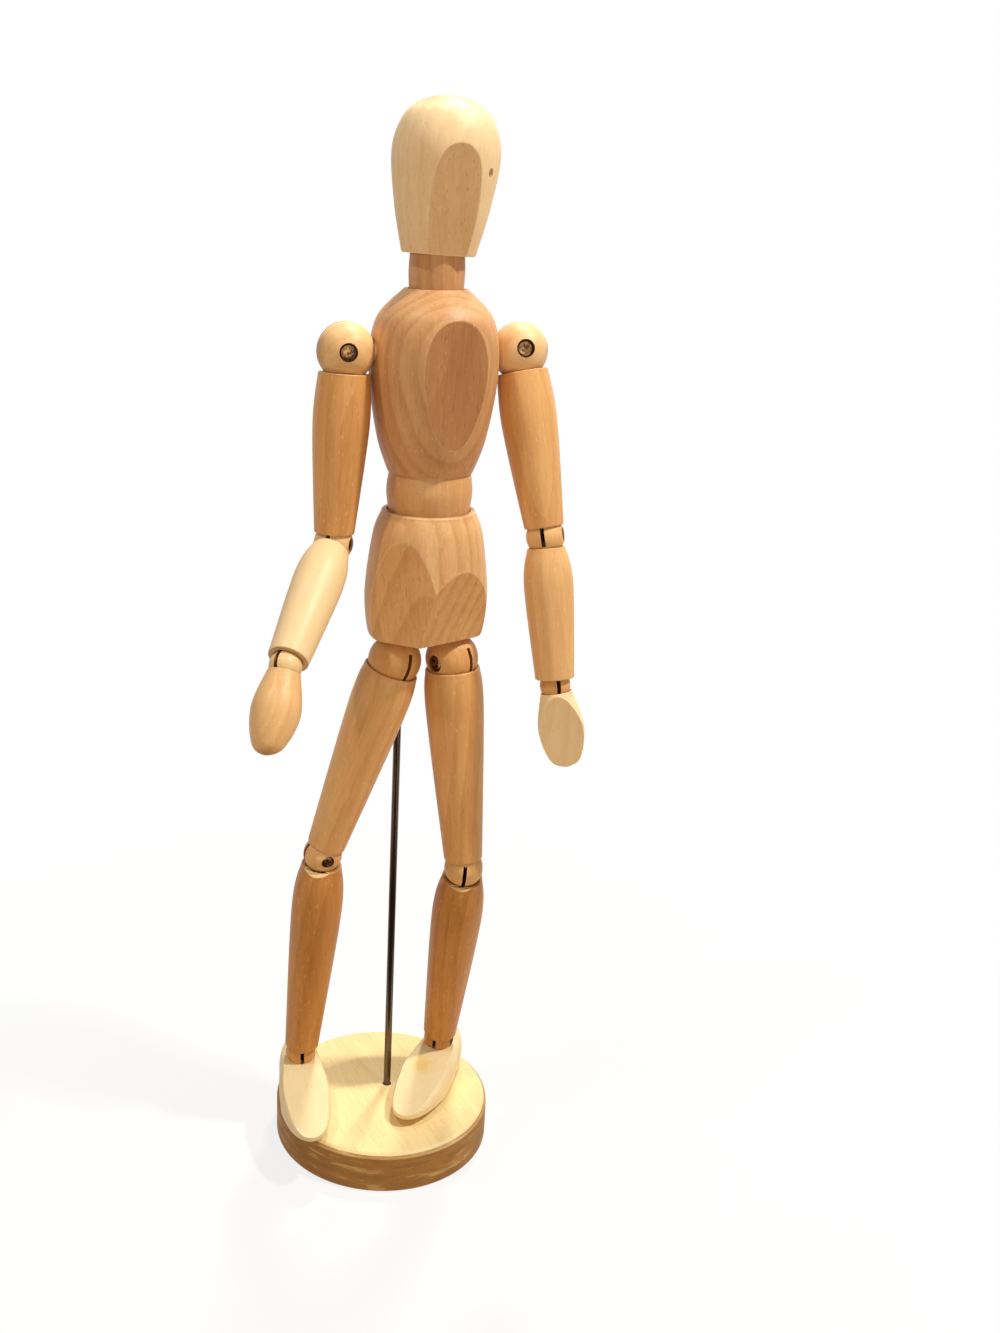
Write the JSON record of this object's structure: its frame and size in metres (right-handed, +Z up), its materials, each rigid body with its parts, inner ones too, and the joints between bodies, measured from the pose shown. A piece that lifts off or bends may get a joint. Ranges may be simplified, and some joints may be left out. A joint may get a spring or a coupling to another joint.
{
  "type": "artist mannequin",
  "caption": "Jointed wooden artist mannequin on a rod and round base: turned limbs hung on slotted ball joints, with a sprung waist and neck.",
  "frame": {"origin": "middle of the round underside of the base", "axes": "+Z up along the rod, the figure faces -Y and its left is +X"},
  "size_m": [0.0963, 0.1036, 0.3302],
  "materials": {
    "limb_wood": "turned, thinly sealed, satin",
    "trunk_wood": "turned, thinly sealed, satin",
    "pale_wood": "turned, thinly sealed, satin",
    "base_wood": "turned, thinly sealed, satin",
    "chromed_rod": "bright",
    "plain_steel": "plain",
    "screw_steel": "dulled zinc"
  },
  "bodies": {
    "stand": {"base": "base_wood"},
    "rod": {"rod": "chromed_rod"},
    "pelvis": {"pelvis": "trunk_wood", "pelvis_pin": "plain_steel"},
    "waist": {"waist": "trunk_wood"},
    "chest": {"chest": "trunk_wood", "chest_pin": "plain_steel", "waist_spring": "plain_steel"},
    "neck": {"neck": "trunk_wood"},
    "head": {"head": "pale_wood", "head_pin": "plain_steel", "neck_spring": "plain_steel"},
    "right_hip_ball": {"right_hip_ball": "limb_wood", "right_hip_screw": "screw_steel"},
    "right_thigh": {"right_thigh": "limb_wood", "right_hip_tongue": "plain_steel"},
    "right_knee_ball": {"right_knee_ball": "limb_wood", "right_knee_screw": "screw_steel"},
    "right_shin": {"right_shin": "limb_wood", "right_knee_tongue": "plain_steel"},
    "right_ankle_ball": {"right_ankle_ball": "limb_wood", "right_ankle_screw": "screw_steel"},
    "right_foot": {"right_foot": "pale_wood", "right_ankle_tongue": "plain_steel"},
    "right_shoulder_ball": {"right_shoulder_ball": "limb_wood", "right_shoulder_screw": "screw_steel"},
    "right_upper_arm": {"right_upper_arm": "limb_wood", "right_shoulder_tongue": "plain_steel", "right_elbow_tongue": "plain_steel"},
    "right_elbow_ball": {"right_elbow_ball": "limb_wood", "right_elbow_screw": "screw_steel"},
    "right_forearm": {"right_forearm": "limb_wood", "right_wrist_tongue": "plain_steel"},
    "right_wrist_ball": {"right_wrist_ball": "limb_wood", "right_wrist_screw": "screw_steel"},
    "right_hand": {"right_hand": "limb_wood"},
    "left_hip_ball": {"left_hip_ball": "limb_wood", "left_hip_screw": "screw_steel"},
    "left_thigh": {"left_thigh": "limb_wood", "left_hip_tongue": "plain_steel"},
    "left_knee_ball": {"left_knee_ball": "limb_wood", "left_knee_screw": "screw_steel"},
    "left_shin": {"left_shin": "limb_wood", "left_knee_tongue": "plain_steel"},
    "left_ankle_ball": {"left_ankle_ball": "limb_wood", "left_ankle_screw": "screw_steel"},
    "left_foot": {"left_foot": "pale_wood", "left_ankle_tongue": "plain_steel"},
    "left_shoulder_ball": {"left_shoulder_ball": "limb_wood", "left_shoulder_screw": "screw_steel"},
    "left_upper_arm": {"left_upper_arm": "limb_wood", "left_shoulder_tongue": "plain_steel", "left_elbow_tongue": "plain_steel"},
    "left_elbow_ball": {"left_elbow_ball": "limb_wood", "left_elbow_screw": "screw_steel"},
    "left_forearm": {"left_forearm": "limb_wood", "left_wrist_tongue": "plain_steel"},
    "left_wrist_ball": {"left_wrist_ball": "limb_wood", "left_wrist_screw": "screw_steel"},
    "left_hand": {"left_hand": "limb_wood"}
  },
  "joints": [
    {"name": "rod_lift", "type": "slide", "parent": "stand", "child": "rod", "axis": [0, 0, 1], "range_m": [0, 0.008]},
    {"name": "figure_turn", "type": "hinge", "parent": "rod", "child": "pelvis", "pos_m": [0.0018, 0.0031, 0], "axis": [0, 0, 1], "continuous": true},
    {"name": "waist_turn", "type": "hinge", "parent": "pelvis", "child": "waist", "pos_m": [0.009, -0.0064, 0.22323], "axis": [0, 0, 1], "range_deg": [-80, 80]},
    {"name": "chest_bend", "type": "hinge", "parent": "waist", "child": "chest", "pos_m": [0.009, -0.0064, 0.22323], "axis": [0.9588, 0.284, 0], "range_deg": [-18, 18]},
    {"name": "neck_turn", "type": "hinge", "parent": "chest", "child": "neck", "pos_m": [0.009, -0.0064, 0.28458], "axis": [0, 0, 1], "range_deg": [-80, 80]},
    {"name": "head_nod", "type": "hinge", "parent": "neck", "child": "head", "pos_m": [0.009, -0.0064, 0.28458], "axis": [0.9552, 0.292, -0.0488], "range_deg": [-18, 18]},
    {"name": "right_hip_turn", "type": "hinge", "parent": "pelvis", "child": "right_hip_ball", "pos_m": [0.00029, -0.00825, 0.17133], "axis": [-0.1704, -0.1637, -0.9717], "range_deg": [-60, 18]},
    {"name": "right_hip_bend", "type": "hinge", "parent": "right_hip_ball", "child": "right_thigh", "pos_m": [0.00029, -0.00825, 0.17133], "axis": [-0.8084, -0.5406, 0.2329], "range_deg": [-18, 60]},
    {"name": "right_knee_turn", "type": "hinge", "parent": "right_thigh", "child": "right_knee_ball", "pos_m": [-0.0209, -0.00527, 0.10468], "axis": [0.2817, 0.0179, 0.9593], "range_deg": [-45, 40]},
    {"name": "right_knee_bend", "type": "hinge", "parent": "right_knee_ball", "child": "right_shin", "pos_m": [-0.0209, -0.00527, 0.10468], "axis": [-0.3359, 0.9384, 0.0811], "range_deg": [-8, 65]},
    {"name": "right_ankle_turn", "type": "hinge", "parent": "right_shin", "child": "right_ankle_ball", "pos_m": [-0.02775, -0.00115, 0.0286], "axis": [-0.0119, 0.0677, -0.9976], "range_deg": [-45, 60]},
    {"name": "right_ankle_bend", "type": "hinge", "parent": "right_ankle_ball", "child": "right_foot", "pos_m": [-0.02775, -0.00115, 0.0286], "axis": [-0.9848, -0.1736, 0], "range_deg": [-3, 40]},
    {"name": "right_shoulder_turn", "type": "hinge", "parent": "chest", "child": "right_shoulder_ball", "pos_m": [-0.01569, -0.01371, 0.26293], "axis": [-0.9898, -0.1421, -0.007], "range_deg": [-25, 150]},
    {"name": "right_shoulder_bend", "type": "hinge", "parent": "right_shoulder_ball", "child": "right_upper_arm", "pos_m": [-0.01569, -0.01371, 0.26293], "axis": [-0.1416, 0.9888, -0.048], "range_deg": [0, 120]},
    {"name": "right_elbow_bend", "type": "hinge", "parent": "right_upper_arm", "child": "right_elbow_ball", "pos_m": [-0.01828, -0.0167, 0.20908], "axis": [-0.9553, 0.2941, 0.0297], "range_deg": [-48, 0]},
    {"name": "right_forearm_turn", "type": "hinge", "parent": "right_elbow_ball", "child": "right_forearm", "pos_m": [-0.01828, -0.0167, 0.20908], "axis": [-0.2534, -0.763, -0.5947], "range_deg": [-90, 90]},
    {"name": "right_wrist_bend", "type": "hinge", "parent": "right_forearm", "child": "right_wrist_ball", "pos_m": [-0.02934, -0.05072, 0.18261], "axis": [-0.8398, 0.476, -0.2611], "range_deg": [-30, 50]},
    {"name": "right_hand_turn", "type": "hinge", "parent": "right_wrist_ball", "child": "right_hand", "pos_m": [-0.02934, -0.05072, 0.18261], "axis": [-0.099, -0.6071, -0.7884], "range_deg": [-90, 90]},
    {"name": "left_hip_turn", "type": "hinge", "parent": "pelvis", "child": "left_hip_ball", "pos_m": [0.01771, -0.00455, 0.17133], "axis": [-0.1761, 0.1088, 0.9784], "range_deg": [-60, 18]},
    {"name": "left_hip_bend", "type": "hinge", "parent": "left_hip_ball", "child": "left_thigh", "pos_m": [0.01771, -0.00455, 0.17133], "axis": [-0.7035, -0.7091, -0.0478], "range_deg": [0, 42]},
    {"name": "left_knee_turn", "type": "hinge", "parent": "left_thigh", "child": "left_knee_ball", "pos_m": [0.02419, -0.00629, 0.10165], "axis": [0.0602, 0.0273, 0.9978], "range_deg": [-38, 24]},
    {"name": "left_knee_bend", "type": "hinge", "parent": "left_knee_ball", "child": "left_shin", "pos_m": [0.02419, -0.00629, 0.10165], "axis": [0.9981, 0.0145, -0.0606], "range_deg": [0, 43]},
    {"name": "left_ankle_turn", "type": "hinge", "parent": "left_shin", "child": "left_ankle_ball", "pos_m": [0.01942, 0.01149, 0.0274], "axis": [-0.0705, -0.1836, 0.9805], "range_deg": [-12, 40]},
    {"name": "left_ankle_bend", "type": "hinge", "parent": "left_ankle_ball", "child": "left_foot", "pos_m": [0.01942, 0.01149, 0.0274], "axis": [-0.9336, 0.3584, 0], "range_deg": [0, 34]},
    {"name": "left_shoulder_turn", "type": "hinge", "parent": "chest", "child": "left_shoulder_ball", "pos_m": [0.03369, 0.00091, 0.26293], "axis": [0.9858, 0.1662, 0.0233], "range_deg": [-25, 150]},
    {"name": "left_shoulder_bend", "type": "hinge", "parent": "left_shoulder_ball", "child": "left_upper_arm", "pos_m": [0.03369, 0.00091, 0.26293], "axis": [0.1589, -0.9691, 0.1884], "range_deg": [0, 120]},
    {"name": "left_elbow_bend", "type": "hinge", "parent": "left_upper_arm", "child": "left_elbow_ball", "pos_m": [0.04355, -0.00766, 0.21053], "axis": [0.9534, -0.2127, 0.2142], "range_deg": [-45, 45]},
    {"name": "left_forearm_turn", "type": "hinge", "parent": "left_elbow_ball", "child": "left_forearm", "pos_m": [0.04355, -0.00766, 0.21053], "axis": [0.1783, -0.1757, -0.9682], "range_deg": [-90, 90]},
    {"name": "left_wrist_bend", "type": "hinge", "parent": "left_forearm", "child": "left_wrist_ball", "pos_m": [0.04844, -0.01478, 0.16688], "axis": [0.9844, 0.1536, 0.0853], "range_deg": [-42, 35]},
    {"name": "left_hand_turn", "type": "hinge", "parent": "left_wrist_ball", "child": "left_hand", "pos_m": [0.04844, -0.01478, 0.16688], "axis": [0.1118, -0.1729, -0.9786], "range_deg": [-90, 90]}
  ]
}
